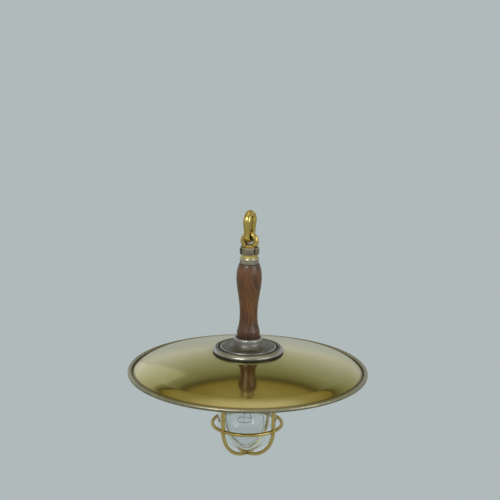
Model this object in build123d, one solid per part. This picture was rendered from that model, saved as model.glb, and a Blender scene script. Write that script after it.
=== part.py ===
from build123d import *
import os
from math import asin, cos, radians, sin, sqrt

# Hanging ship's lantern, all sizes in millimetres.
# The origin is the hang point: the inside top of the hanging link, where a hook bears.
# +Z is up, -Y is the front, and the lamp's own axis is the Z axis.

# --- driving dimensions: hanging link and eye ---
HANGER_TURN = -22.0          # link and eye are turned about Z from square to the front
LINK_HALF_WIDTH = 11.0       # from the axis to the middle of each limb
LINK_CROWN_WIDE = 5.75       # half width of the cast crown's section
LINK_CROWN_THICK = 4.6       # half thickness of the crown's section
LINK_FOOT_R = 3.8            # round section at the bottom of the link
EYE_R = 9.5                  # middle of the eye's ring
EYE_ROD_R = 4.3
EYE_TOP = -21.7              # highest point of the eye
EYE_GAP = 0.3                # between the link's foot and the eye's crown
EYE_FOOT_R = 10.4
EYE_FLANGE_R = 11.4
EYE_FLANGE_THICK = 2.4

# --- driving dimensions: nut, socket, ferrule and handle ---
NUT_R = 14.0
NUT_TOP = -44.2
NUT_LIP = 1.5
NUT_NOTCH = 3.4
NUT_NOTCH_DEPTH = 1.6
NUT_NOTCH_AZIMUTH = 30.0
SOCKET_R = 12.5
SOCKET_TOP = -54.4
SOCKET_THREAD_R = 11.4
SOCKET_TENON_R = 9.5
SOCKET_TENON_END = -84.0
FERRULE_TOP = -59.9
FERRULE_TOP_R = 13.95
FERRULE_FOOT_R = 13.4
ENTRY_BORE_R = 2.6           # the supply cable's way in, at the back
GROMMET_R = 3.4
HANDLE_TOP = -68.8
HANDLE_OUTLINE = [           # radius, height: the turned curve from shoulder to foot
    (14.7, -68.8), (18.3, -91.0), (14.7, -120.5), (12.9, -144.5), (14.0, -159.0), (16.5, -168.4),
]
HANDLE_FOOT_R = 16.1
HANDLE_FOOT = -182.9
STEM_R = 6.5
STEM_BORE_R = 4.5
STEM_TOP = -70.0
STEM_END = -216.0

# --- driving dimensions: head flange, shade and rim ---
NECK_TOP = -178.0
NECK_SOCKET_R = 16.4
FLANGE_R = 51.6
FLANGE_FOOT = -199.5
GASKET_THICK = 0.7
SHADE_THICK = 1.2
SHADE_LAND_R = 52.0          # flat middle that the flange clamps
SHADE_CROWN_R = 520.0        # large arc of the dome's section
SHADE_BREAK_R = 150.0        # where the shoulder begins
SHADE_SHOULDER_R = 55.0      # small arc of the shoulder
SHADE_EDGE_R = 167.2         # where the shoulder meets the rim's seat
RIM_R = 172.1
RIM_ROD_R = 2.9
RIM_WIRE_R = 1.5
RIM_Z = -229.0

# --- driving dimensions: gallery and lamp holder ---
GALLERY_R = 50.0
GALLERY_PLATE = 4.0
GALLERY_THREAD_R = 47.4
GALLERY_BORE_R = 43.5
GALLERY_SHOULDER = -214.0
GALLERY_FOOT = -236.0
SCREW_CIRCLE_R = 33.0
SCREW_R = 2.0
SCREW_HEAD_R = 3.7
LAMP_OFFSET = -3.4           # the lamp holder sits a little off the axis
BRACKET_HALF = 24.0
BRACKET_WIDE = 16.0
BRACKET_THICK = 1.5
BRACKET_BAR = -229.0
HOLDER_R = 21.0
HOLDER_FOOT_R = 18.6
HOLDER_STEP = -243.0
HOLDER_FOOT = -266.0
SHELL_R = 14.2
SHELL_BORE_R = 13.6

# --- driving dimensions: bulb ---
CAP_R = 13.1
CAP_TOP = -240.3
CAP_FOOT = -263.0
BULB_R = 30.0
BULB_CENTRE = -314.3
BULB_WALL = 0.8
FILAMENT_R = 11.0
FILAMENT_Z = -306.0

# --- driving dimensions: glass jar and guard ---
JAR_R = 43.1
JAR_WALL = 2.8
JAR_LIP_R = 47.0
JAR_LIP = 2.5
JAR_ROUND = -310.0           # where the round bottom begins
JAR_DEPTH = 40.6
JAR_GASKET = 2.5
COLLAR_R = 54.3
COLLAR_BORE_R = 47.8
COLLAR_TOP = -218.0
COLLAR_LEDGE = 3.0
COLLAR_LEDGE_R = 43.5
GUARD_R = 51.3
GUARD_RING_ROD = 2.6
GUARD_RING_Z = -310.4
GUARD_ROD = 2.65
GUARD_FOOT = -357.3          # middle of the rod where the hoops cross
BAR_WIDE = 3.3               # half sizes of the flat upper bars
BAR_THICK = 2.3
GUARD_TURN = 48.0            # azimuth of the first hoop's plane, from the front

# --- worked-out levels ---
PIVOT_Z = EYE_TOP - EYE_ROD_R
EYE_Z = PIVOT_Z - EYE_R
LINK_FOOT_Z = PIVOT_Z - EYE_ROD_R - EYE_GAP - LINK_FOOT_R
NUT_FOOT = SOCKET_TOP
SHADE_LAND = FLANGE_FOOT - GASKET_THICK
GALLERY_TOP = SHADE_LAND - SHADE_THICK
PLATE_FOOT = GALLERY_TOP - GALLERY_PLATE
JAR_TOP = GALLERY_FOOT - JAR_GASKET
COLLAR_SEAT = JAR_TOP - JAR_LIP
COLLAR_FOOT = COLLAR_SEAT - COLLAR_LEDGE
ENTRY_Z = (FERRULE_TOP + HANDLE_TOP) / 2


def turned(points):
    """A solid turned about the Z axis from its closed outline of (radius, height) points."""
    outline = Polyline(*points, close=True)
    return revolve(Plane.XZ * make_face(outline), Axis.Z)


def tube(outer, inner, top, foot):
    return turned([(inner, foot), (outer, foot), (outer, top), (inner, top)])


def disc(radius, top, foot, x=0.0, y=0.0):
    """A round bar along Z, at the place x, y."""
    return Pos(x, y, foot) * Cylinder(radius, top - foot, align=(Align.CENTER, Align.CENTER, Align.MIN))


def around(count, radius, first=0.0):
    """Places evenly spaced on a circle: angle, x and y."""
    angles = [first + 360.0 * k / count for k in range(count)]
    return [(a, radius * cos(radians(a)), radius * sin(radians(a))) for a in angles]


def wire(points, radius, bend):
    """A round wire along straight runs joined by arcs."""
    path = FilletPolyline(*points, radius=bend)
    section = Plane(path @ 0, z_dir=path % 0) * Circle(radius)
    return sweep(section, path=path)


def straight_wire(start, end, radius):
    line = Line(start, end)
    return sweep(Plane(start, z_dir=line % 0) * Circle(radius), path=line)


# --- hanging link and eye ---

def hanging_link():
    """Cast oval link: a heavy crown whose limbs thin down to a round foot."""
    crown_z = LINK_CROWN_THICK - LINK_HALF_WIDTH
    foot_z = LINK_FOOT_Z + LINK_HALF_WIDTH
    crown_face = Pos(0, LINK_HALF_WIDTH, crown_z) * Ellipse(LINK_CROWN_WIDE, LINK_CROWN_THICK)
    foot_face = Pos(0, LINK_HALF_WIDTH, foot_z) * Circle(LINK_FOOT_R)
    link = revolve(crown_face, Axis((0, 0, crown_z), (1, 0, 0)), 180)
    link += revolve(foot_face, Axis((0, 0, foot_z), (-1, 0, 0)), 180)
    limb = loft([crown_face, foot_face])
    link += limb + mirror(limb, Plane.XZ)
    return Rot(0, 0, HANGER_TURN) * link


def eye_stud():
    """Eye ring on a round foot, with the flange that the nut holds down."""
    flange_foot = NUT_TOP - NUT_LIP - EYE_FLANGE_THICK
    ring = Pos(0, 0, EYE_Z) * Rot(90, 0, 0) * Torus(EYE_R, EYE_ROD_R)
    hole_foot = EYE_Z - EYE_R + EYE_ROD_R
    foot = turned([
        (0, flange_foot), (EYE_FLANGE_R, flange_foot), (EYE_FLANGE_R, NUT_TOP - NUT_LIP),
        (EYE_FOOT_R, NUT_TOP - NUT_LIP), (EYE_FOOT_R, hole_foot - 2.0), (EYE_FOOT_R - 1.8, hole_foot - 0.2),
        (0, hole_foot - 0.2),
    ])
    below = disc(EYE_R * 2, flange_foot, flange_foot - EYE_R)
    return Rot(0, 0, HANGER_TURN) * (ring + foot - below)


def gland_nut():
    """Round nut with four spanner notches, screwed down over the eye's flange."""
    edge = 0.7
    nut = turned([
        (EYE_FOOT_R + 0.3, NUT_TOP), (NUT_R - edge, NUT_TOP), (NUT_R, NUT_TOP - edge),
        (NUT_R, NUT_FOOT + edge), (NUT_R - edge, NUT_FOOT), (SOCKET_THREAD_R + 0.1, NUT_FOOT),
        (SOCKET_THREAD_R + 0.1, NUT_TOP - NUT_LIP), (EYE_FOOT_R + 0.3, NUT_TOP - NUT_LIP),
    ])
    height = NUT_TOP - NUT_FOOT
    notch = Pos(NUT_R, 0, NUT_FOOT + height / 2) * Box(2 * NUT_NOTCH_DEPTH, NUT_NOTCH, height + 1)
    for angle, _, _ in around(4, NUT_R, NUT_NOTCH_AZIMUTH - 90.0):
        nut -= Rot(0, 0, angle) * notch
    return nut


def entry_bore(radius):
    """The radial way in for the supply cable, at the back, as a solid to cut with."""
    return Pos(0, 0, ENTRY_Z) * Rot(-90, 0, 0) * Cylinder(
        radius, 2 * NUT_R, align=(Align.CENTER, Align.CENTER, Align.MIN))


def handle_socket():
    """Brass socket between nut and ferrule: thread above, tenon and stem thread below."""
    waist = SOCKET_R - 0.5
    body = turned([
        (0, SOCKET_TOP + 5.9), (SOCKET_THREAD_R, SOCKET_TOP + 5.9), (SOCKET_THREAD_R, SOCKET_TOP),
        (SOCKET_R, SOCKET_TOP), (SOCKET_R, SOCKET_TOP - 1.2), (waist, SOCKET_TOP - 2.0),
        (waist, FERRULE_TOP + 2.0), (SOCKET_R, FERRULE_TOP + 1.2), (SOCKET_R, FERRULE_TOP),
        (SOCKET_TENON_R, FERRULE_TOP), (SOCKET_TENON_R, SOCKET_TENON_END), (STEM_R, SOCKET_TENON_END),
        (STEM_R, STEM_TOP), (STEM_BORE_R, STEM_TOP), (STEM_BORE_R, SOCKET_TOP), (0, SOCKET_TOP),
    ])
    return body - entry_bore(GROMMET_R)


def ferrule_blank():
    edge = 0.5
    return turned([
        (SOCKET_TENON_R + 0.1, HANDLE_TOP), (FERRULE_FOOT_R, HANDLE_TOP),
        (FERRULE_TOP_R, FERRULE_TOP - 2 * edge), (FERRULE_TOP_R - edge, FERRULE_TOP),
        (SOCKET_TENON_R + 0.1, FERRULE_TOP),
    ])


def handle_ferrule():
    return ferrule_blank() - entry_bore(GROMMET_R)


def cable_grommet():
    """Rubber bush that lines the cable's way in, with a bead outside the ferrule."""
    inner_end = STEM_BORE_R + 0.3
    bush = Pos(0, inner_end, ENTRY_Z) * Rot(-90, 0, 0) * Cylinder(
        GROMMET_R, FERRULE_FOOT_R - inner_end, align=(Align.CENTER, Align.CENTER, Align.MIN))
    bead = Pos(0, FERRULE_FOOT_R - 1.0, ENTRY_Z) * Rot(-90, 0, 0) * Cylinder(
        GROMMET_R + 0.8, 3.0, align=(Align.CENTER, Align.CENTER, Align.MIN))
    bead -= disc(FERRULE_TOP_R, FERRULE_TOP + 1, HANDLE_TOP - 1)
    plug = Pos(0, FERRULE_FOOT_R - 1.0, ENTRY_Z) * Rot(-90, 0, 0) * Cylinder(
        GROMMET_R, 3.0, align=(Align.CENTER, Align.CENTER, Align.MIN))
    return bush + bead + plug - entry_bore(ENTRY_BORE_R)


def wood_handle():
    """Turned hardwood handle: full shoulder, slim waist and a round foot."""
    curve = Spline(*HANDLE_OUTLINE, tangents=((0.45, -1.0), (0.28, -1.0)))
    shoulder = Line((STEM_R + 0.3, HANDLE_TOP), HANDLE_OUTLINE[0])
    bead = ThreePointArc(HANDLE_OUTLINE[-1], (HANDLE_FOOT_R + 0.6, -172.0), (HANDLE_FOOT_R + 0.2, -176.0))
    foot = Polyline(
        (HANDLE_FOOT_R + 0.2, -176.0), (HANDLE_FOOT_R, HANDLE_FOOT), (STEM_R + 0.3, HANDLE_FOOT),
        (STEM_R + 0.3, HANDLE_TOP))
    body = revolve(Plane.XZ * make_face(Curve() + [shoulder, curve, bead, foot]), Axis.Z)
    return body - disc(SOCKET_TENON_R + 0.1, HANDLE_TOP + 1, SOCKET_TENON_END - 0.2)


def stem_tube():
    """Steel tube through the handle: it carries the load and the leads."""
    return tube(STEM_R, STEM_BORE_R, STEM_TOP, STEM_END)


# --- head flange, shade and rim ---

def screw_places():
    return [(x, y) for _, x, y in around(3, SCREW_CIRCLE_R, 90.0)]


def head_flange():
    """Cast iron flange: socket neck, hollow cove, flat plate, groove and round lip."""
    neck = ThreePointArc((NECK_SOCKET_R, NECK_TOP - 0.8), (18.6, NECK_TOP), (20.8, NECK_TOP - 2.2))
    neck_side = Line((20.8, NECK_TOP - 2.2), (21.0, NECK_TOP - 4.5))
    cove = ThreePointArc((21.0, NECK_TOP - 4.5), (22.6, NECK_TOP - 10.4), (28.0, NECK_TOP - 13.6))
    plate = Polyline(
        (28.0, NECK_TOP - 13.6), (38.6, NECK_TOP - 14.4), (40.4, NECK_TOP - 14.0), (41.0, NECK_TOP - 15.0),
        (41.6, NECK_TOP - 16.6), (42.6, NECK_TOP - 16.6), (43.6, NECK_TOP - 15.2))
    lip = ThreePointArc((43.6, NECK_TOP - 15.2), (49.6, NECK_TOP - 16.1), (FLANGE_R, NECK_TOP - 18.8))
    lip_foot = ThreePointArc(
        (FLANGE_R, NECK_TOP - 18.8), (FLANGE_R - 0.1, FLANGE_FOOT + 1.2), (FLANGE_R - 1.0, FLANGE_FOOT))
    inside = Polyline(
        (FLANGE_R - 1.0, FLANGE_FOOT), (STEM_R + 0.1, FLANGE_FOOT), (STEM_R + 0.1, HANDLE_FOOT - 0.1),
        (NECK_SOCKET_R, HANDLE_FOOT - 0.1), (NECK_SOCKET_R, NECK_TOP - 0.8))
    edges = [neck, neck_side, cove, plate, lip, lip_foot, inside]
    body = revolve(Plane.XZ * make_face(Curve() + edges), Axis.Z)
    for x, y in screw_places():
        body -= disc(SCREW_R, FLANGE_FOOT + 5.8, FLANGE_FOOT - 1, x, y)
    return body


def flange_gasket():
    gasket = tube(FLANGE_R - 1.2, STEM_R + 0.3, FLANGE_FOOT, SHADE_LAND)
    for x, y in screw_places():
        gasket -= disc(SCREW_R + 0.2, FLANGE_FOOT + 1, SHADE_LAND - 1, x, y)
    return gasket


def dome_height(radius):
    """Height of the dome's top surface on its large arc."""
    return SHADE_LAND + sqrt(SHADE_CROWN_R**2 - radius**2) - sqrt(SHADE_CROWN_R**2 - SHADE_LAND_R**2)


def shade():
    """Spun brass dome: flat land, long shallow arc, tight shoulder and a seat for the rim."""
    slope = SHADE_BREAK_R / SHADE_CROWN_R
    crown_mid = (SHADE_LAND_R + SHADE_BREAK_R) / 2
    break_z = dome_height(SHADE_BREAK_R)
    centre_r = SHADE_BREAK_R - SHADE_SHOULDER_R * slope
    centre_z = break_z - SHADE_SHOULDER_R * sqrt(1 - slope**2)

    def shoulder_point(radius, inset):
        s = (radius - centre_r) / SHADE_SHOULDER_R
        arm = SHADE_SHOULDER_R - inset
        return (centre_r + arm * s, centre_z + arm * sqrt(1 - s**2))

    def crown_point(radius, inset):
        s = radius / SHADE_CROWN_R
        return (radius - inset * s, dome_height(radius) - inset * sqrt(1 - s**2))

    shoulder_mid = (SHADE_BREAK_R + SHADE_EDGE_R) / 2
    edge_top = shoulder_point(SHADE_EDGE_R, 0)
    seat_top = (RIM_R - RIM_ROD_R + 1.0, edge_top[1] - 1.3)
    seat_foot = (seat_top[0], seat_top[1] - SHADE_THICK)
    edge_foot = shoulder_point(SHADE_EDGE_R, SHADE_THICK)
    outline = Curve() + [
        Line((STEM_R + 0.3, SHADE_LAND), (SHADE_LAND_R, SHADE_LAND)),
        ThreePointArc((SHADE_LAND_R, SHADE_LAND), crown_point(crown_mid, 0), shoulder_point(SHADE_BREAK_R, 0)),
        ThreePointArc(shoulder_point(SHADE_BREAK_R, 0), shoulder_point(shoulder_mid, 0), edge_top),
        Line(edge_top, seat_top),
        Line(seat_top, seat_foot),
        Line(seat_foot, edge_foot),
        ThreePointArc(edge_foot, shoulder_point(shoulder_mid, SHADE_THICK),
                      shoulder_point(SHADE_BREAK_R, SHADE_THICK)),
        ThreePointArc(shoulder_point(SHADE_BREAK_R, SHADE_THICK), crown_point(crown_mid, SHADE_THICK),
                      (SHADE_LAND_R, GALLERY_TOP)),
        Polyline((SHADE_LAND_R, GALLERY_TOP), (STEM_R + 0.3, GALLERY_TOP), (STEM_R + 0.3, SHADE_LAND)),
    ]
    body = revolve(Plane.XZ * make_face(outline), Axis.Z)
    for x, y in screw_places():
        body -= disc(SCREW_R + 0.2, SHADE_LAND + 1, GALLERY_TOP - 1, x, y)
    return body - Pos(0, 0, RIM_Z) * Torus(RIM_R, RIM_ROD_R)


def rim_bead():
    """Rolled bead around the shade's edge, closed over a wire."""
    return Pos(0, 0, RIM_Z) * (Torus(RIM_R, RIM_ROD_R) - Torus(RIM_R, RIM_WIRE_R))


def rim_wire():
    return Pos(0, 0, RIM_Z) * Torus(RIM_R, RIM_WIRE_R)


# --- gallery and lamp holder ---

def bracket_places():
    return [(LAMP_OFFSET + side * (BRACKET_HALF + 6.0), 0.0) for side in (-1, 1)]


def earth_place():
    return (14.0, 18.0)


def gallery():
    """Brass gallery under the shade: clamp plate and threaded skirt."""
    body = turned([
        (STEM_R + 0.1, GALLERY_TOP), (GALLERY_R, GALLERY_TOP), (GALLERY_R, GALLERY_SHOULDER),
        (GALLERY_THREAD_R, GALLERY_SHOULDER - 1.5), (GALLERY_THREAD_R, GALLERY_FOOT),
        (GALLERY_BORE_R, GALLERY_FOOT), (GALLERY_BORE_R, PLATE_FOOT), (STEM_R + 0.1, PLATE_FOOT),
    ])
    for x, y in screw_places():
        body -= disc(SCREW_R + 0.2, GALLERY_TOP + 1, PLATE_FOOT - 1, x, y)
    for x, y in bracket_places() + [earth_place()]:
        body -= disc(SCREW_R, GALLERY_TOP - 0.8, PLATE_FOOT - 1, x, y)
    return body


def pan_screw(x, y, seat, tip, head=2.4):
    """A slotted pan-head screw that points up from its seat."""
    screw = disc(SCREW_R, tip, seat, x, y) + disc(SCREW_HEAD_R, seat, seat - head, x, y)
    return screw - Pos(x, y, seat - head) * Box(2 * SCREW_HEAD_R + 1, 0.9, 1.6)


def gallery_screws():
    return Part() + [pan_screw(x, y, PLATE_FOOT, FLANGE_FOOT + 5.0) for x, y in screw_places()]


def stem_washer():
    return tube(13.0, STEM_R + 0.1, PLATE_FOOT, PLATE_FOOT - 1.5)


def stem_nut():
    height = 7.0
    top = PLATE_FOOT - 1.5
    blank = Pos(0, 0, top - height) * extrude(RegularPolygon(11.5, 6), height)
    return blank - disc(STEM_R, top + 1, top - height - 1)


def holder_bracket():
    """Bent strap that hangs the lamp holder below the gallery's plate."""
    bar = BRACKET_BAR + BRACKET_THICK
    seat = PLATE_FOOT - BRACKET_THICK
    foot_end = BRACKET_HALF + 12.0
    half = [
        (0, BRACKET_BAR), (BRACKET_HALF, BRACKET_BAR), (BRACKET_HALF, seat), (foot_end, seat),
        (foot_end, PLATE_FOOT), (BRACKET_HALF - BRACKET_THICK, PLATE_FOOT),
        (BRACKET_HALF - BRACKET_THICK, bar), (0, bar),
    ]
    side = extrude(Plane.XZ * make_face(Polyline(*half, close=True)), BRACKET_WIDE / 2, both=True)
    strap = Pos(LAMP_OFFSET, 0, 0) * (side + mirror(side, Plane.YZ))
    for x, y in bracket_places():
        strap -= disc(SCREW_R + 0.2, PLATE_FOOT + 1, seat - 1, x, y)
    for x, y in holder_screw_places():
        strap -= disc(SCREW_R + 0.2, bar + 1, BRACKET_BAR - 1, x, y)
    return strap


def bracket_screws():
    seat = PLATE_FOOT - BRACKET_THICK
    return Part() + [pan_screw(x, y, seat, GALLERY_TOP - 1.0) for x, y in bracket_places()]


def holder_screw_places():
    return [(LAMP_OFFSET - 14.0, 0.0), (LAMP_OFFSET + 14.0, 0.0)]


def holder_screws():
    """Two screws that point down through the strap into the holder."""
    seat = BRACKET_BAR + BRACKET_THICK
    screws = []
    for x, y in holder_screw_places():
        head = disc(SCREW_HEAD_R, seat + 2.2, seat, x, y) - Pos(x, y, seat + 2.2) * Box(9, 0.9, 1.6)
        screws.append(head + disc(SCREW_R, seat, BRACKET_BAR - 6.0, x, y))
    return Part() + screws


def terminal_places():
    return [(LAMP_OFFSET, side * 14.0) for side in (-1, 1)]


def holder_body():
    """Porcelain body of the lamp holder."""
    body = turned([
        (0, BRACKET_BAR), (HOLDER_R - 1, BRACKET_BAR), (HOLDER_R, BRACKET_BAR - 1),
        (HOLDER_R, HOLDER_STEP), (HOLDER_FOOT_R, HOLDER_STEP - 1), (HOLDER_FOOT_R, HOLDER_FOOT + 1),
        (HOLDER_FOOT_R - 1, HOLDER_FOOT), (SHELL_R + 0.1, HOLDER_FOOT), (SHELL_R + 0.1, CAP_TOP + 0.8),
        (8.0, CAP_TOP + 0.8), (8.0, CAP_TOP + 4.3), (0, CAP_TOP + 4.3),
    ])
    body = Pos(LAMP_OFFSET, 0, 0) * body
    for x, y in holder_screw_places():
        body -= disc(SCREW_R, BRACKET_BAR + 1, BRACKET_BAR - 6.5, x, y)
    for x, y in terminal_places():
        body -= disc(1.6, BRACKET_BAR + 1, BRACKET_BAR - 4.0, x, y)
    return body


def terminal_posts():
    """Brass posts beside the strap where the two leads end."""
    posts = []
    for x, y in terminal_places():
        post = disc(3.0, BRACKET_BAR + 4.0, BRACKET_BAR, x, y) + disc(1.6, BRACKET_BAR, BRACKET_BAR - 3.8, x, y)
        posts.append(post)
    return Part() + posts


def screw_shell():
    """Threaded sleeve that the bulb's cap screws into."""
    top = CAP_TOP + 0.7
    shell = tube(SHELL_R, SHELL_BORE_R, top, HOLDER_FOOT + 0.6) + tube(SHELL_R, 9.5, top, top - 0.6)
    return Pos(LAMP_OFFSET, 0, 0) * shell


def centre_contact():
    """Sprung pin that presses on the bulb's eyelet."""
    top = CAP_TOP + 4.2
    return disc(6.0, top, top - 1.2, LAMP_OFFSET) + disc(2.2, top - 1.2, CAP_TOP, LAMP_OFFSET)


def lead(start_x, start_y, end_x, end_y, end_z):
    """A lead down the stem, across below its mouth, and on to its terminal."""
    turn_z = STEM_END - 3.5
    points = [
        (start_x, start_y, STEM_TOP - 2.0), (start_x, start_y, turn_z), (end_x, end_y, turn_z),
        (end_x, end_y, end_z),
    ]
    return wire(points, 1.1, 2.4)


def lead_live():
    x, y = terminal_places()[0]
    return lead(0.0, -1.7, x, y, BRACKET_BAR + 4.0)


def lead_neutral():
    x, y = terminal_places()[1]
    return lead(0.0, 1.7, x, y, BRACKET_BAR + 4.0)


def lead_earth():
    x, y = earth_place()
    return lead(2.7, 0.0, x, y, PLATE_FOOT - 2.4)


def earth_screw():
    x, y = earth_place()
    return disc(SCREW_R, GALLERY_TOP - 1.0, PLATE_FOOT, x, y) + disc(SCREW_HEAD_R, PLATE_FOOT, PLATE_FOOT - 2.4, x, y)


# --- bulb ---

def bulb_cap():
    """Thin brass screw cap."""
    wall = 0.6
    cap = turned([
        (8.0, CAP_TOP - 1.2), (CAP_R, CAP_TOP - 3.4), (CAP_R, CAP_FOOT), (CAP_R - wall, CAP_FOOT),
        (CAP_R - wall, CAP_TOP - 3.9), (8.0, CAP_TOP - 1.9),
    ])
    return Pos(LAMP_OFFSET, 0, 0) * cap


def cap_insulator():
    ring = turned([(4.5, CAP_TOP - 0.6), (8.0, CAP_TOP - 1.2), (8.0, CAP_TOP - 1.9), (4.5, CAP_TOP - 1.9)])
    return Pos(LAMP_OFFSET, 0, 0) * ring


def cap_eyelet():
    return disc(4.5, CAP_TOP - 0.1, CAP_TOP - 1.9, LAMP_OFFSET)


def bulb_blank(inset):
    """Solid of the bulb's outline, taken in by the inset."""
    neck_r = CAP_R - 0.7
    top = CAP_FOOT + 7.0
    radius = BULB_R - inset
    neck = Line((neck_r - inset, top), (neck_r - inset, CAP_FOOT - 3.0))
    flare = Spline(
        (neck_r - inset, CAP_FOOT - 3.0), (20.6 - inset, -286.0), (radius, BULB_CENTRE),
        tangents=((0, -1), (0, -1)))
    ball = CenterArc((0, BULB_CENTRE), radius, 0, -90)
    close = Polyline((0, BULB_CENTRE - radius), (0, top), (neck_r - inset, top))
    return revolve(Plane.XZ * make_face(Curve() + [neck, flare, ball, close]), Axis.Z)


def bulb_glass():
    return Pos(LAMP_OFFSET, 0, 0) * (bulb_blank(0.0) - bulb_blank(BULB_WALL))


def bulb_mount():
    """Glass foot inside the bulb, with the rod that carries the filament."""
    mount = turned([
        (0, -258.0), (CAP_R - 1.7, -258.0), (5.5, -264.0), (3.4, -272.0), (3.4, -284.0), (1.4, -287.0),
        (1.4, -297.0), (0, -298.4),
    ])
    return Pos(LAMP_OFFSET, 0, 0) * mount


def filament_supports():
    """Two lead-in wires and three hooks that hold the filament."""
    wires = []
    for angle in (20.0, 340.0):
        tip = (FILAMENT_R * cos(radians(angle)), FILAMENT_R * sin(radians(angle)), FILAMENT_Z + 0.4)
        wires.append(straight_wire((3.2, 0.9 if angle < 180 else -0.9, -280.0), tip, 0.35))
    for angle in (100.0, 180.0, 260.0):
        x, y = cos(radians(angle)), sin(radians(angle))
        wires.append(straight_wire((x, y, -296.0), (FILAMENT_R * x, FILAMENT_R * y, FILAMENT_Z + 0.5), 0.25))
    mount_and_coil = Pos(-LAMP_OFFSET, 0, 0) * (bulb_mount() + filament())
    return Pos(LAMP_OFFSET, 0, 0) * (Part() + [w - mount_and_coil for w in wires])


def filament():
    """Coiled filament, as one round wire three quarters of the way round."""
    path = CenterArc((LAMP_OFFSET, 0, FILAMENT_Z), FILAMENT_R, 20, 320)
    return sweep(Plane(path @ 0, z_dir=path % 0) * Circle(0.4), path=path)


# --- glass jar and guard ---

def jar_blank(radius, depth, top):
    side = Polyline((0, top), (radius, top), (radius, JAR_ROUND))
    bottom = EllipticalCenterArc((0, JAR_ROUND), radius, depth, start_angle=270, arc_size=90)
    axis_line = Line((0, JAR_ROUND - depth), (0, top))
    return revolve(Plane.XZ * make_face(Curve() + [side, bottom, axis_line]), Axis.Z)


def glass_jar():
    """Thick clear jar with a round bottom and a lip that the collar holds up."""
    jar = jar_blank(JAR_R, JAR_DEPTH, JAR_TOP) + tube(JAR_LIP_R, JAR_R - 1, JAR_TOP, COLLAR_SEAT)
    return jar - jar_blank(JAR_R - JAR_WALL, JAR_DEPTH - JAR_WALL, JAR_TOP)


def jar_gasket():
    return tube(JAR_LIP_R, GALLERY_BORE_R, GALLERY_FOOT, JAR_TOP)


def guard_collar():
    """Threaded ring that draws jar and gasket up against the gallery."""
    edge = 1.2
    ring = turned([
        (COLLAR_BORE_R, COLLAR_TOP), (COLLAR_R - edge, COLLAR_TOP), (COLLAR_R, COLLAR_TOP - edge),
        (COLLAR_R, COLLAR_FOOT + edge), (COLLAR_R - edge, COLLAR_FOOT), (COLLAR_LEDGE_R, COLLAR_FOOT),
        (COLLAR_LEDGE_R, COLLAR_SEAT), (COLLAR_BORE_R, COLLAR_SEAT),
    ])
    flute = disc(3.0, COLLAR_TOP + 1, COLLAR_FOOT + 5.0, COLLAR_R + 1.6)
    for angle, _, _ in around(12, COLLAR_R, 15.0):
        ring -= Rot(0, 0, angle) * flute
    return ring


def hoop_blank():
    """One guard hoop in the XZ plane: two flat bars that run into a round bow."""
    bow = EllipticalCenterArc((0, JAR_ROUND), GUARD_R, JAR_ROUND - GUARD_FOOT, start_angle=180, arc_size=180)
    path = Plane.XZ * bow
    hoop = sweep(Plane(path @ 0, z_dir=path % 0) * Circle(GUARD_ROD), path=path)
    blend_top = JAR_ROUND + 9.0
    flat = Pos(GUARD_R, 0, blend_top) * Ellipse(BAR_THICK, BAR_WIDE)
    bar = loft([Pos(GUARD_R, 0, JAR_ROUND) * Circle(GUARD_ROD), flat])
    bar += extrude(flat, COLLAR_FOOT - blend_top)
    return hoop + bar + mirror(bar, Plane.YZ)


def rivet(angle):
    """A radial pin with a domed head on the outside of the guard."""
    inner, seat, head, ball = GUARD_R - GUARD_ROD, GUARD_R + GUARD_ROD - 0.2, 2.2, 2.6
    centre = seat - sqrt(ball**2 - head**2)
    half_angle = asin(head / ball) / 2
    crown = (centre + ball * cos(half_angle), ball * sin(half_angle))
    outline = Curve() + [
        Polyline((centre + ball, 0), (inner, 0), (inner, 1.3), (seat, 1.3), (seat, head)),
        ThreePointArc((seat, head), crown, (centre + ball, 0)),
    ]
    pin = revolve(make_face(outline), Axis.X)
    return Rot(0, 0, angle) * Pos(0, 0, GUARD_RING_Z) * pin


HOOP_ANGLE = GUARD_TURN - 90.0
RIVET_ANGLES = [a for a, _, _ in around(4, GUARD_R, HOOP_ANGLE)]


def guard_hoop_a():
    hoop = Rot(0, 0, HOOP_ANGLE) * hoop_blank()
    for angle in RIVET_ANGLES[::2]:
        hoop -= rivet(angle)
    return hoop


def guard_hoop_b():
    """The second hoop, halved where it meets the first at the bottom."""
    hoop = Rot(0, 0, HOOP_ANGLE + 90.0) * hoop_blank()
    for angle in RIVET_ANGLES[1::2]:
        hoop -= rivet(angle)
    return hoop - Rot(0, 0, HOOP_ANGLE) * hoop_blank()


def guard_ring():
    """Round ring brazed in four lengths between the bars."""
    ring = Pos(0, 0, GUARD_RING_Z) * Torus(GUARD_R, GUARD_RING_ROD)
    for turn in (0.0, 90.0):
        ring -= Rot(0, 0, HOOP_ANGLE + turn) * hoop_blank()
    for angle in RIVET_ANGLES:
        ring -= rivet(angle)
    return ring


def guard_rivets():
    return Part() + [rivet(angle) for angle in RIVET_ANGLES]


PIECES = [
    hanging_link, eye_stud, gland_nut, handle_socket, handle_ferrule, cable_grommet, wood_handle,
    stem_tube, head_flange, flange_gasket, shade, rim_bead, rim_wire, gallery, gallery_screws,
    stem_washer, stem_nut, holder_bracket, bracket_screws, holder_screws, holder_body, terminal_posts,
    screw_shell, centre_contact, lead_live, lead_neutral, lead_earth, earth_screw, bulb_cap,
    cap_insulator, cap_eyelet, bulb_glass, bulb_mount, filament, filament_supports, glass_jar,
    jar_gasket, guard_collar, guard_hoop_a, guard_hoop_b, guard_ring, guard_rivets,
]

os.makedirs("parts", exist_ok=True)
for make_piece in PIECES:
    export_step(make_piece(), f"parts/{make_piece.__name__}.step")
print(len(PIECES), "pieces written; swing pivot at z =", round(PIVOT_Z, 2))
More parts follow.
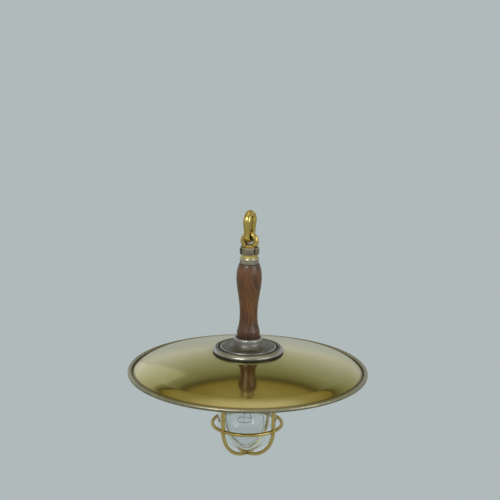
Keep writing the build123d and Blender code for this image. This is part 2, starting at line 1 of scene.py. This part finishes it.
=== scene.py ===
# %% [markdown]
# # A hanging ship's lantern
# The construction comes in ready made and fixed, with every part in its place. This lesson gives it
# its finishes, its surroundings, its light and its camera. No part is modelled again: the
# construction's own shapes are used as they are, so all the work here is in how the surfaces look.

# %% Load the fixed frame
import math

import bpy
from mathutils import Matrix, Vector


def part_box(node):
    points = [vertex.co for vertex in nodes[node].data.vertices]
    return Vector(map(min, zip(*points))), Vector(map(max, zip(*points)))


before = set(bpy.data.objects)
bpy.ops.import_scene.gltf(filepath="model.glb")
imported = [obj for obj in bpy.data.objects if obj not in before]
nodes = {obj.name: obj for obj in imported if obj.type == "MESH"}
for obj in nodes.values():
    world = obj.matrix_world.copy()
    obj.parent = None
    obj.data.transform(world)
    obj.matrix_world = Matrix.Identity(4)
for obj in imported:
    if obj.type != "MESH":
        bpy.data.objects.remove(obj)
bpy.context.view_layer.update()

print("pieces in the frame:", len(nodes))

# %% [markdown]
# ## Levels and radii
# Wear, painted highlight and painted shade belong to a place: the crown of a bead, the top of a nut,
# the foot of a handle. These places are read from the frame, so such marks stay where they belong if
# the construction is ever changed.
# Only the steps on the flange's own face are given as plain radii, further down, where it is cast.

# %% Read the places that the finishes need
rim_low, rim_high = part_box("rim_bead")
RIM_RADIUS = rim_high.x
RIM_LEVEL = (rim_low.z + rim_high.z) / 2
FLANGE_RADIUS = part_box("head_flange")[1].x
NUT_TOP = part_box("gland_nut")[1].z
FERRULE_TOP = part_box("handle_ferrule")[1].z
handle_low, handle_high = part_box("wood_handle")
HANDLE_FOOT, HANDLE_TOP = handle_low.z, handle_high.z
print("rim radius", round(RIM_RADIUS, 4), "handle from", round(HANDLE_FOOT, 4), "to", round(HANDLE_TOP, 4))

# %% [markdown]
# ## Camera
# The lantern hangs below eye level, so the camera looks down on the shade by about an eighth of a
# right angle, and leans by less than a degree. A long lens from well back keeps the rim's ellipse calm.

# %% Place the camera
LOOK_DOWN = math.radians(12.71)
LEAN = math.radians(0.83)
CAMERA_PLACE = Vector((0.0007, -1.6741, 0.3286))
camera_data = bpy.data.cameras.new("camera")
camera_data.sensor_width = 36.0
camera_data.lens = 86.4
camera = bpy.data.objects.new("camera", camera_data)
bpy.context.scene.collection.objects.link(camera)
aim = Matrix.Rotation(math.pi / 2 - LOOK_DOWN, 4, "X") @ Matrix.Rotation(LEAN, 4, "Z")
camera.matrix_world = Matrix.Translation(CAMERA_PLACE) @ aim
bpy.context.scene.camera = camera
bpy.context.scene.view_settings.view_transform = "Standard"
print("camera stands", round(CAMERA_PLACE.length, 3), "m from the hanging point")

# %% [markdown]
# ## A small language for shaders
# A finish is mostly arithmetic: a mask times a strength, plus a scratch. Wrapping a socket in a class
# that knows + - * and powers lets that be written as Python, while Blender still gets ordinary nodes.
# Colours are mixed with Mix nodes, because a Math node would turn them grey.


# %% Wrap a socket so that it can be used in sums
class Value:
    """One output socket. Arithmetic on it adds Math nodes to its tree."""

    def __init__(self, shading, socket):
        self.shading = shading
        self.socket = socket

    def reckon(self, operation, first, second, clamp=False):
        settings = {"operation": operation, "use_clamp": clamp}
        return self.shading.node("ShaderNodeMath", settings, {0: first, 1: second})

    def __add__(self, other):
        return self.reckon("ADD", self, other)

    def __sub__(self, other):
        return self.reckon("SUBTRACT", self, other)

    def __rsub__(self, other):
        return self.reckon("SUBTRACT", other, self)

    def __mul__(self, other):
        return self.reckon("MULTIPLY", self, other)

    def __pow__(self, other):
        return self.reckon("POWER", self, other)

    __radd__ = __add__
    __rmul__ = __mul__

    def clamped(self):
        """The same number, kept between 0 and 1."""
        return self.reckon("ADD", self, 0.0, clamp=True)


# %% Make any other node with one method
class Shading:
    """The node tree of a material or of the world."""

    def __init__(self, owner):
        owner.use_nodes = True
        self.tree = owner.node_tree

    def give(self, made, inputs):
        """Set or link the sockets of a node."""
        for key, value in inputs.items():
            if isinstance(value, Value):
                self.tree.links.new(value.socket, made.inputs[key])
            else:
                made.inputs[key].default_value = value

    def node(self, kind, settings=None, inputs=None, output=0):
        """Add a node, settings first. A colour ramp takes its stops as (place, colour) pairs."""
        made = self.tree.nodes.new(kind)
        for key, value in (settings or {}).items():
            if key == "stops":
                while len(made.color_ramp.elements) < len(value):
                    made.color_ramp.elements.new(0.5)
                for stop, (position, colour) in zip(made.color_ramp.elements, value):
                    stop.position, stop.color = position, colour
            else:
                setattr(made, key, value)
        self.give(made, inputs or {})
        return Value(self, made.outputs[output])

    def seen_directly(self):
        """1 for rays straight from the camera and for rays through glass."""
        camera_ray = self.node("ShaderNodeLightPath", output="Is Camera Ray")
        glass_ray = self.node("ShaderNodeLightPath", output="Is Transmission Ray")
        return self.node("ShaderNodeMath", {"operation": "MAXIMUM"}, {0: camera_ray, 1: glass_ray})


# %% Gather what every finish is made from
class Finish(Shading):
    """A material under construction, with a Principled shader at its end."""

    def __init__(self, name, **constants):
        self.material = bpy.data.materials.new(name)
        super().__init__(self.material)
        self.shader = self.tree.nodes["Principled BSDF"]
        self.place = self.node("ShaderNodeTexCoord", output="Object")
        self.feed(**constants)

    def feed(self, **sockets):
        """Set or link the shader's sockets, and hand back the material."""
        self.give(self.shader, {key.replace("_", " "): value for key, value in sockets.items()})
        return self.material

    def noise(self, scale, detail=4.0, rough=0.55, warp=0.0, stretch=(1, 1, 1), shift=(0, 0, 0)):
        mapping = {"Vector": self.place, "Scale": stretch, "Location": shift}
        moved = self.node("ShaderNodeMapping", {}, mapping)
        inputs = {"Vector": moved, "Scale": scale, "Detail": detail, "Roughness": rough, "Distortion": warp}
        return self.node("ShaderNodeTexNoise", {}, inputs)

    def between(self, value, low, high):
        """0 below low, 1 above high, and a smooth step from one to the other."""
        inputs = {"Value": value, "From Min": low, "From Max": high}
        return self.node("ShaderNodeMapRange", {"interpolation_type": "SMOOTHSTEP"}, inputs)

    def band(self, value, low, high, fade=0.0008):
        """1 from low to high, fading out on both sides."""
        return self.between(value, low - fade, low) * (1 - self.between(value, high, high + fade))

    def mix(self, share, first, second):
        """A colour between two. Sockets 6 and 7 of a Mix node are its two colours."""
        return self.node("ShaderNodeMix", {"data_type": "RGBA"}, {0: share, 6: first, 7: second}, output=2)

    def axis(self, letter):
        return self.node("ShaderNodeSeparateXYZ", {}, {0: self.place}, output="XYZ".index(letter))

    def radius(self):
        """Distance from the lantern's own axis."""
        x, y = self.axis("X"), self.axis("Y")
        return (x * x + y * y) ** 0.5

    def hollows(self, reach):
        """1 deep in a hollow, 0 on open metal."""
        return 1 - self.node("ShaderNodeAmbientOcclusion", {"samples": 8}, {"Distance": reach}, output="AO")

    def bump(self, height, strength, depth, under=None):
        inputs = {"Height": height, "Strength": strength, "Distance": depth}
        if under:
            inputs["Normal"] = under
        return self.node("ShaderNodeBump", {}, inputs)


def rgb(red, green, blue):
    return (red, green, blue, 1.0)


def dress(names, material):
    """Give the named pieces of the frame a finish."""
    for name in names.split():
        for slot in nodes[name].material_slots:
            slot.material = material
    print(material.name, "on", names)


# %% [markdown]
# ## Spun brass, for the shade
# The shade is a flat sheet pressed over a form on a lathe and then polished, so its marks run round
# the axis. Noise on rings of equal radius gives them. Two broad clouds of colour keep the dome from
# looking like new metal. The part by the flange's foot is painted darker, as stain and painted shade.
# Towards the rim the dome takes painted shade, deepest in the crease at the rim, which also stays
# rougher, because a polishing cloth doesn't reach it.


# %% Spin the shade
def spun_brass():
    finish = Finish("spun_brass", Metallic=1.0)
    radius = finish.radius()
    rings = finish.node("ShaderNodeCombineXYZ", {}, {0: radius * 900.0, 1: finish.axis("Z") * 40.0})
    lathe = finish.node("ShaderNodeTexNoise", {}, {"Vector": rings, "Scale": 1.0, "Detail": 6.0})
    cloud = finish.noise(9.0, detail=5.0, warp=0.6)
    smear = finish.noise(5.0, detail=3.0, stretch=(1.0, 3.2, 1.0), shift=(0.3, 0.1, 0.0))
    spots = finish.between(finish.noise(70.0, detail=7.0, rough=0.7), 0.66, 0.76)
    # Masks for painted shade: a band towards the rim, and the crease by the rim.
    edge = finish.between(radius, RIM_RADIUS - 0.020, RIM_RADIUS - 0.005)
    crease = finish.between(radius, RIM_RADIUS - 0.011, RIM_RADIUS - 0.0082)
    # A ring of stain and painted shade round the flange's foot.
    flange_foot_stain_and_shade = 1 - finish.between(radius, FLANGE_RADIUS - 0.0002, FLANGE_RADIUS + 0.0103)

    cream, olive, golden = rgb(0.60, 0.56, 0.30), rgb(0.50, 0.47, 0.22), rgb(0.58, 0.46, 0.16)
    stain, shadow, dirt_and_painted_shade = rgb(0.40, 0.33, 0.13), rgb(0.42, 0.34, 0.12), rgb(0.09, 0.07, 0.03)
    colour = finish.mix(finish.between(cloud, 0.35, 0.68), cream, olive)
    colour = finish.mix(finish.between(smear, 0.48, 0.72) * 0.5, colour, golden)
    colour = finish.mix((spots * 0.35 + flange_foot_stain_and_shade * 0.35).clamped(), colour, stain)
    # A band of painted shade towards the rim.
    colour = finish.mix(edge * (0.25 + cloud * 0.7), colour, shadow)
    # Painted shade, with some dirt, deepest in the crease by the rim.
    colour = finish.mix(crease * 0.85, colour, dirt_and_painted_shade)
    rough = 0.05 + cloud * 0.06 + lathe * 0.04 + spots * 0.20 + edge * 0.06 + crease * 0.2
    normal = finish.bump(lathe, 0.035, 0.0002, finish.bump(cloud, 0.05, 0.002))
    return finish.feed(Base_Color=colour, Roughness=rough, Normal=normal)


dress("shade", spun_brass())

# %% [markdown]
# ## Tarnished brass, for the rim
# The rolled rim has not been polished for years, so it is grey green. Its crown is a little brighter,
# as wear from being touched only on top and as a painted highlight.


# %% Tarnish the rim
def tarnished_brass():
    finish = Finish("tarnished_brass")
    patch = finish.noise(60.0, detail=6.0, rough=0.65, warp=0.4)
    grain = finish.noise(420.0, detail=4.0)
    # The crown is painted brighter: wear, and a painted highlight on top.
    wear_and_painted_highlight = finish.between(finish.axis("Z") + patch * 0.002, RIM_LEVEL + 0.0002, RIM_LEVEL + 0.0028)

    dark, dull = rgb(0.14, 0.135, 0.09), rgb(0.24, 0.23, 0.16)
    green, bright = rgb(0.17, 0.22, 0.16), rgb(0.56, 0.53, 0.38)
    colour = finish.mix(finish.between(patch, 0.35, 0.65), dark, dull)
    colour = finish.mix(finish.between(grain, 0.58, 0.72) * 0.5, colour, green)
    colour = finish.mix(wear_and_painted_highlight * 0.45, colour, bright)
    metallic, rough = 0.55 + wear_and_painted_highlight * 0.35, 0.52 - wear_and_painted_highlight * 0.18
    normal = finish.bump(grain, 0.35, 0.0002)
    return finish.feed(Base_Color=colour, Metallic=metallic, Roughness=rough, Normal=normal)


dress("rim_bead", tarnished_brass())

# %% [markdown]
# ## Cast brass, for link, eye and guard
# Cast pieces have no lathe marks. A fine noise gives the skin of the sand mould, a broad one the file
# work, and the depth of a hollow decides how much dark brown is painted in it, as old patina and as
# painted shade. The link is rubbed by its hook and shines more, so it has its own two colours.


# %% Cast the link and the guard
def cast_brass(name, bright, deep, reach):
    finish = Finish(name, Metallic=1.0)
    skin = finish.noise(520.0, detail=6.0, rough=0.6)
    waves = finish.noise(90.0, detail=3.0, warp=0.5)
    pits = finish.between(finish.noise(900.0, detail=2.0), 0.68, 0.75)
    # Hollows are painted dark brown: old patina and painted shade.
    patina_and_painted_shade = (finish.hollows(reach) * 1.5 + waves * 0.35 - 0.18).clamped()

    orange, pit_brown = rgb(0.55, 0.40, 0.13), rgb(0.16, 0.09, 0.03)
    colour = finish.mix(finish.between(waves, 0.35, 0.7), bright, orange)
    colour = finish.mix(patina_and_painted_shade, colour, deep)
    colour = finish.mix(pits * 0.6, colour, pit_brown)
    rough = 0.20 + patina_and_painted_shade * 0.30 + waves * 0.10
    normal = finish.bump(skin, 0.30, 0.0002, finish.bump(waves, 0.35, 0.0008))
    return finish.feed(Base_Color=colour, Roughness=rough, Normal=normal)


link_brass = cast_brass("polished_cast_brass", rgb(0.68, 0.54, 0.18), rgb(0.16, 0.09, 0.02), 0.006)
guard_brass = cast_brass("golden_guard_brass", rgb(0.56, 0.46, 0.18), rgb(0.17, 0.075, 0.015), 0.004)
dress("hanging_link eye_stud", link_brass)
dress("guard_hoop_a guard_hoop_b guard_ring guard_rivets", guard_brass)

# %% [markdown]
# ## Iron, for nut, ferrule and flange
# These three are iron with a grey or brown skin. What stands proud is painted brighter, as wear from
# hands and cloths and as painted highlight, and the grooves are painted dark, as dirt and painted shade.
# Each one says in which bands it stands proud: in height, for the top edges of nut and ferrule, or in
# radius, for the flange's neck, step and lip.


# %% Cast the iron pieces
def cast_iron(name, skin, dark, bright, reach, measure, proud):
    finish = Finish(name, Metallic=0.85)
    grain = finish.noise(380.0, detail=6.0, rough=0.65)
    patch = finish.noise(75.0, detail=5.0, warp=0.6)
    rust_noise = finish.noise(140.0, detail=6.0, rough=0.7, shift=(0.2, 0.7, 0.1))
    rust = finish.between(rust_noise, 0.60, 0.74)
    # Grooves and hollows are painted near black: dirt and painted shade.
    hollow = (finish.hollows(reach) * 1.9 + patch * 0.5 - 0.30).clamped()
    place = finish.radius() if measure == "radius" else finish.axis("Z")
    # Bands that stand proud are painted bright: wear and painted highlight.
    wear_and_painted_highlight = sum(finish.band(place, low, high) for low, high in proud)
    wear_and_painted_highlight = (wear_and_painted_highlight * (0.45 + grain)).clamped()

    rust_brown, dirt_and_painted_shade = rgb(0.19, 0.10, 0.05), rgb(0.035, 0.034, 0.030)
    colour = finish.mix(finish.between(patch, 0.35, 0.65), skin, dark)
    colour = finish.mix(rust * 0.30, colour, rust_brown)
    colour = finish.mix(wear_and_painted_highlight * 0.85, colour, bright)
    colour = finish.mix(hollow, colour, dirt_and_painted_shade)
    rough = 0.36 + patch * 0.16 - wear_and_painted_highlight * 0.14 + hollow * 0.2
    normal = finish.bump(grain, 0.30, 0.0003, finish.bump(patch, 0.25, 0.0008))
    return finish.feed(Base_Color=colour, Roughness=rough, Normal=normal)


# %% Give each iron piece its colours and its bands of wear and painted highlight
# The third colour of each is its wear and painted highlight.
nut_colours = rgb(0.30, 0.27, 0.21), rgb(0.20, 0.17, 0.13), rgb(0.55, 0.50, 0.38)
nut_proud = [(NUT_TOP - 0.0010, NUT_TOP + 0.0002)]
dress("gland_nut", cast_iron("browned_iron", *nut_colours, 0.004, "height", nut_proud))

ferrule_colours = rgb(0.42, 0.40, 0.33), rgb(0.28, 0.26, 0.21), rgb(0.62, 0.60, 0.52)
ferrule_proud = [(FERRULE_TOP - 0.0013, FERRULE_TOP + 0.0001)]
dress("handle_ferrule", cast_iron("grey_ferrule_iron", *ferrule_colours, 0.003, "height", ferrule_proud))

flange_colours = rgb(0.19, 0.185, 0.175), rgb(0.12, 0.118, 0.112), rgb(0.46, 0.46, 0.44)
FLANGE_NECK, FLANGE_STEP, FLANGE_LIP = (0.0172, 0.0206), (0.0392, 0.0404), (0.0478, 0.0512)
flange_proud = [FLANGE_NECK, FLANGE_STEP, FLANGE_LIP]
dress("head_flange", cast_iron("flange_iron", *flange_colours, 0.005, "radius", flange_proud))

# %% [markdown]
# ## Oiled hardwood, for the handle
# The handle is turned from a straight stick whose heart lies off to one side, so the growth rings
# show as long flames, and the pores as short dark dashes. A stretched noise bends the rings. A clear
# coat stands for the oil and the polish of many hands. Both ends are painted dark, as dirt and as
# painted shade where the handle meets the flange's neck and the ferrule.


# %% Turn the handle
def hardwood():
    finish = Finish("oiled_hardwood", Coat_Weight=0.30, Coat_Roughness=0.16)
    x, y, z = finish.axis("X"), finish.axis("Y"), finish.axis("Z")
    heart_x, heart_y, ring_count = -0.021, 0.016, 380.0
    drift = finish.noise(14.0, detail=4.0, stretch=(1.0, 1.0, 0.22))
    from_heart = ((x - heart_x) * (x - heart_x) + (y - heart_y) * (y - heart_y)) ** 0.5
    rings = (from_heart + drift * 0.016 + z * 0.02) * ring_count
    bands = finish.node("ShaderNodeMath", {"operation": "FRACT"}, {0: rings})
    flame = finish.between(bands, 0.0, 0.75) * (1 - finish.between(bands, 0.86, 1.0))
    pores = finish.between(finish.noise(520.0, detail=3.0, stretch=(1, 1, 0.07)), 0.58, 0.70)
    fibre = finish.noise(900.0, detail=2.0, stretch=(1, 1, 0.03))
    blotch = finish.noise(35.0, detail=4.0, stretch=(1, 1, 0.5), shift=(0.1, 0.4, 0.2))
    # Both ends are painted darker: dirt, and painted shade where the handle meets flange and ferrule.
    foot = 1 - finish.between(z, HANDLE_FOOT + 0.0049, HANDLE_FOOT + 0.0209)
    shoulder = finish.between(z, HANDLE_TOP - 0.0092, HANDLE_TOP - 0.0002)

    dark, red, amber = rgb(0.034, 0.012, 0.005), rgb(0.120, 0.042, 0.012), rgb(0.190, 0.072, 0.020)
    pore_brown, dirt_and_painted_shade = rgb(0.022, 0.009, 0.005), rgb(0.028, 0.014, 0.010)
    colour = finish.mix(flame, dark, red)
    colour = finish.mix(finish.between(blotch, 0.40, 0.68) * 0.65, colour, amber)
    colour = finish.mix(pores * 0.75, colour, pore_brown)
    colour = finish.mix(((foot + shoulder * 0.6) * 0.75).clamped(), colour, dirt_and_painted_shade)
    rough = 0.34 + pores * 0.25 + blotch * 0.12
    normal = finish.bump(fibre - pores * 0.8, 0.22, 0.0003)
    return finish.feed(Base_Color=colour, Roughness=rough, Normal=normal)


dress("wood_handle", hardwood())

# %% [markdown]
# ## Turned and pressed metal, for the inner pieces
# The inner pieces came off a lathe or a press and have seen no weather. Close rings across the axis
# and a duller colour in the hollows, for a faint stain and painted shade, are enough.


# %% Turn the inner metal
def turned_metal(name, bright, dull, rough=0.3):
    finish = Finish(name, Metallic=1.0)
    across, along = finish.radius() * 600.0, finish.axis("Z") * 1800.0
    lines = finish.node("ShaderNodeCombineXYZ", {}, {0: across, 2: along})
    lathe = finish.node("ShaderNodeTexNoise", {}, {"Vector": lines, "Scale": 1.0, "Detail": 3.0})
    stain = finish.noise(80.0, detail=5.0, warp=0.3)
    # Hollows take the duller colour: painted shade, with random stains.
    share = (finish.hollows(0.003) * 0.8 + finish.between(stain, 0.42, 0.7) * 0.5).clamped()
    colour = finish.mix(share, bright, dull)
    normal = finish.bump(lathe, 0.12, 0.0002)
    return finish.feed(Base_Color=colour, Roughness=rough + stain * 0.18, Normal=normal)


# %% Give the brass inner pieces their colours
dress("handle_socket", turned_metal("socket_brass", rgb(0.76, 0.66, 0.28), rgb(0.42, 0.33, 0.12)))
gallery_brass = turned_metal("gallery_brass", rgb(0.66, 0.52, 0.20), rgb(0.30, 0.21, 0.08), 0.36)
dress("gallery guard_collar", gallery_brass)
screw_brass = turned_metal("screw_brass", rgb(0.74, 0.60, 0.28), rgb(0.34, 0.25, 0.11))
dress("gallery_screws bracket_screws holder_screws terminal_posts earth_screw", screw_brass)
pressed_brass = turned_metal("pressed_brass", rgb(0.80, 0.70, 0.40), rgb(0.50, 0.42, 0.22), 0.22)
dress("screw_shell centre_contact bulb_cap cap_eyelet", pressed_brass)

# %% Give the steel inner pieces theirs
stem_steel = turned_metal("stem_steel", rgb(0.56, 0.56, 0.55), rgb(0.30, 0.29, 0.27))
dress("stem_tube stem_nut stem_washer rim_wire", stem_steel)
plated_steel = turned_metal("plated_steel", rgb(0.64, 0.65, 0.66), rgb(0.40, 0.39, 0.36), 0.26)
dress("holder_bracket", plated_steel)
lamp_wire = turned_metal("lamp_wire", rgb(0.36, 0.35, 0.34), rgb(0.20, 0.19, 0.18))
dress("filament filament_supports", lamp_wire)

# %% [markdown]
# ## Rubber, porcelain and cable covering
# These differ in gloss more than in pattern, so one recipe serves them all. Its hollows take a second
# colour: lighter dust on rubber and dark glass, painted shade on porcelain and the leads.


# %% Mould the plain skins
def plain_skin(name, colour, shade, rough, coat=0.0, grain=600.0):
    finish = Finish(name, Coat_Weight=coat)
    dust = finish.noise(grain, detail=4.0)
    cloud = finish.noise(grain / 9.0, detail=3.0)
    # Hollows take the second colour: lighter dust on rubber and dark glass, painted shade on the rest.
    share = (finish.hollows(0.003) * 0.8 + finish.between(cloud, 0.4, 0.75) * 0.4).clamped()
    tint = finish.mix(share, colour, shade)
    normal = finish.bump(dust, 0.08, 0.0002)
    return finish.feed(Base_Color=tint, Roughness=rough + dust * 0.12, Normal=normal)


# %% Give each skin its colour
rubber = plain_skin("black_rubber", rgb(0.030, 0.030, 0.030), rgb(0.060, 0.057, 0.052), 0.62)
dress("cable_grommet flange_gasket jar_gasket", rubber)
porcelain_white, porcelain_grey = rgb(0.84, 0.82, 0.76), rgb(0.55, 0.50, 0.40)
porcelain = plain_skin("glazed_porcelain", porcelain_white, porcelain_grey, 0.14, 0.8, 200.0)
dress("holder_body", porcelain)
cap_glass = plain_skin("cap_glass", rgb(0.012, 0.012, 0.016), rgb(0.03, 0.03, 0.03), 0.12, 0.5)
dress("cap_insulator", cap_glass)
dress("lead_live", plain_skin("lead_brown", rgb(0.16, 0.06, 0.03), rgb(0.08, 0.03, 0.02), 0.45))
dress("lead_neutral", plain_skin("lead_blue", rgb(0.03, 0.10, 0.34), rgb(0.02, 0.05, 0.16), 0.45))
dress("lead_earth", plain_skin("lead_green", rgb(0.09, 0.30, 0.07), rgb(0.05, 0.14, 0.04), 0.45))

# %% [markdown]
# ## Clear glass, for jar and bulb
# What shows of clear glass is its edges, a faint grey green in the thick wall and some dust. The
# shader bends the light by itself, so it needs only a little haze and a slightly wavy surface.


# %% Blow the glass
def clear_glass(name, tint, haze):
    finish = Finish(name, Transmission_Weight=1.0, IOR=1.45)
    dust = finish.noise(240.0, detail=6.0, rough=0.7)
    streak = finish.noise(30.0, detail=3.0, stretch=(1, 1, 0.2))
    colour = finish.mix(finish.between(streak, 0.45, 0.75) * 0.35, tint, haze)
    rough = finish.between(dust, 0.55, 0.75) * 0.05
    normal = finish.bump(streak, 0.06, 0.0008)
    return finish.feed(Base_Color=colour, Roughness=rough, Normal=normal)


dress("glass_jar", clear_glass("jar_glass", rgb(0.95, 0.97, 0.96), rgb(0.88, 0.92, 0.91)))
dress("bulb_glass bulb_mount", clear_glass("lamp_glass", rgb(0.97, 0.97, 0.98), rgb(0.92, 0.93, 0.95)))

# %% [markdown]
# ## Surroundings
# Polished metal shows the room more than its own colour. The room is pale near the horizon and
# darkens above it to a thin dark line, as where a wall meets a ceiling. Over that it turns golden and
# then pale again. That line is what parts the olive from the gold on the dome, and a slow noise keeps
# it from being a perfect ring. The camera, and a look through the glass, see an even grey blue, while
# reflections see the bands.

# %% Paint the room
BACKGROUND = rgb(0.434, 0.491, 0.497)
ROOM_BANDS = [
    (0.00, rgb(0.30, 0.30, 0.28)),
    (0.47, rgb(0.46, 0.49, 0.49)),
    (0.61, rgb(0.64, 0.67, 0.70)),
    (0.69, rgb(0.50, 0.52, 0.47)),
    (0.77, rgb(0.34, 0.35, 0.24)),
    (0.81, rgb(0.22, 0.21, 0.11)),
    (0.828, rgb(0.06, 0.05, 0.02)),
    (0.84, rgb(0.30, 0.23, 0.07)),
    (0.91, rgb(0.42, 0.38, 0.19)),
    (0.98, rgb(0.80, 0.75, 0.60)),
]
world = bpy.data.worlds.new("room")
bpy.context.scene.world = world
room = Shading(world)
direction = room.node("ShaderNodeTexCoord", output="Generated")
up = room.node("ShaderNodeSeparateXYZ", {}, {0: direction}, output="Z")
height = room.node("ShaderNodeMapRange", {}, {"Value": up, "From Min": -1.0})
wander = room.node("ShaderNodeTexNoise", {}, {"Vector": direction, "Scale": 1.6})
bands = room.node("ShaderNodeValToRGB", {"stops": ROOM_BANDS}, {0: height - 0.035 + wander * 0.06})
around_it = room.node("ShaderNodeBackground", {}, {"Color": bands})
behind_it = room.node("ShaderNodeBackground", {}, {"Color": BACKGROUND})
both = room.node("ShaderNodeMixShader", {}, {0: room.seen_directly(), 1: around_it, 2: behind_it})
room.give(room.tree.nodes["World Output"], {"Surface": both})
print("bands in the room:", len(ROOM_BANDS))

# %% [markdown]
# ## Floor
# The lantern hangs clear of everything. The floor is far below it and only sends a little light back
# up. It has the background's colour for the camera, so no edge shows behind the lantern.

# %% Lay the floor
FLOOR_LEVEL, FLOOR_SIZE = -0.75, 8.0
bpy.ops.object.select_all(action="DESELECT")
bpy.ops.mesh.primitive_plane_add(size=FLOOR_SIZE, location=(0, 0, FLOOR_LEVEL))
floor = bpy.context.object
floor.name = "floor"
paper = Finish("floor_paper", Base_Color=rgb(0.62, 0.66, 0.66), Roughness=0.9)
plain = Value(paper, paper.shader.outputs[0])
glow = paper.node("ShaderNodeEmission", {}, {"Color": BACKGROUND})
blend = paper.node("ShaderNodeMixShader", {}, {0: paper.seen_directly(), 1: plain, 2: glow})
paper.give(paper.tree.nodes["Material Output"], {"Surface": blend})
floor.data.materials.append(paper.material)
print("floor at", FLOOR_LEVEL, "m")

# %% [markdown]
# ## Light
# Three large soft lamps: a warm key from the front left, a cooler fill from the right, and a weak one
# behind that lifts the left rear of the dome. All three are low in power, because most of the light
# comes from the room.

# %% Hang the soft lamps
AIM = Vector((0, 0, -0.2))
WARM, COOL, NEUTRAL = (1.0, 0.98, 0.95), (0.95, 0.98, 1.0), (1.0, 1.0, 1.0)


def soft_lamp(name, place, size, power, colour):
    lamp = bpy.data.lights.new(name, "AREA")
    lamp.size = size
    lamp.energy = power
    lamp.color = colour
    holder = bpy.data.objects.new(name, lamp)
    bpy.context.scene.collection.objects.link(holder)
    turn = (AIM - Vector(place)).to_track_quat("-Z", "Y").to_matrix().to_4x4()
    holder.matrix_world = Matrix.Translation(place) @ turn
    print(name, power, "W")


soft_lamp("key_light", (-0.9, -1.6, 1.1), 0.9, 16.0, WARM)
soft_lamp("fill_light", (1.5, -1.1, 0.5), 1.2, 10.0, COOL)
soft_lamp("back_light", (-1.3, 1.5, 0.35), 1.6, 1.2, NEUTRAL)

# %% [markdown]
# ## The end
# No piece was added, so the finished object keeps the construction's own size.

# %% Finish
print("finished")
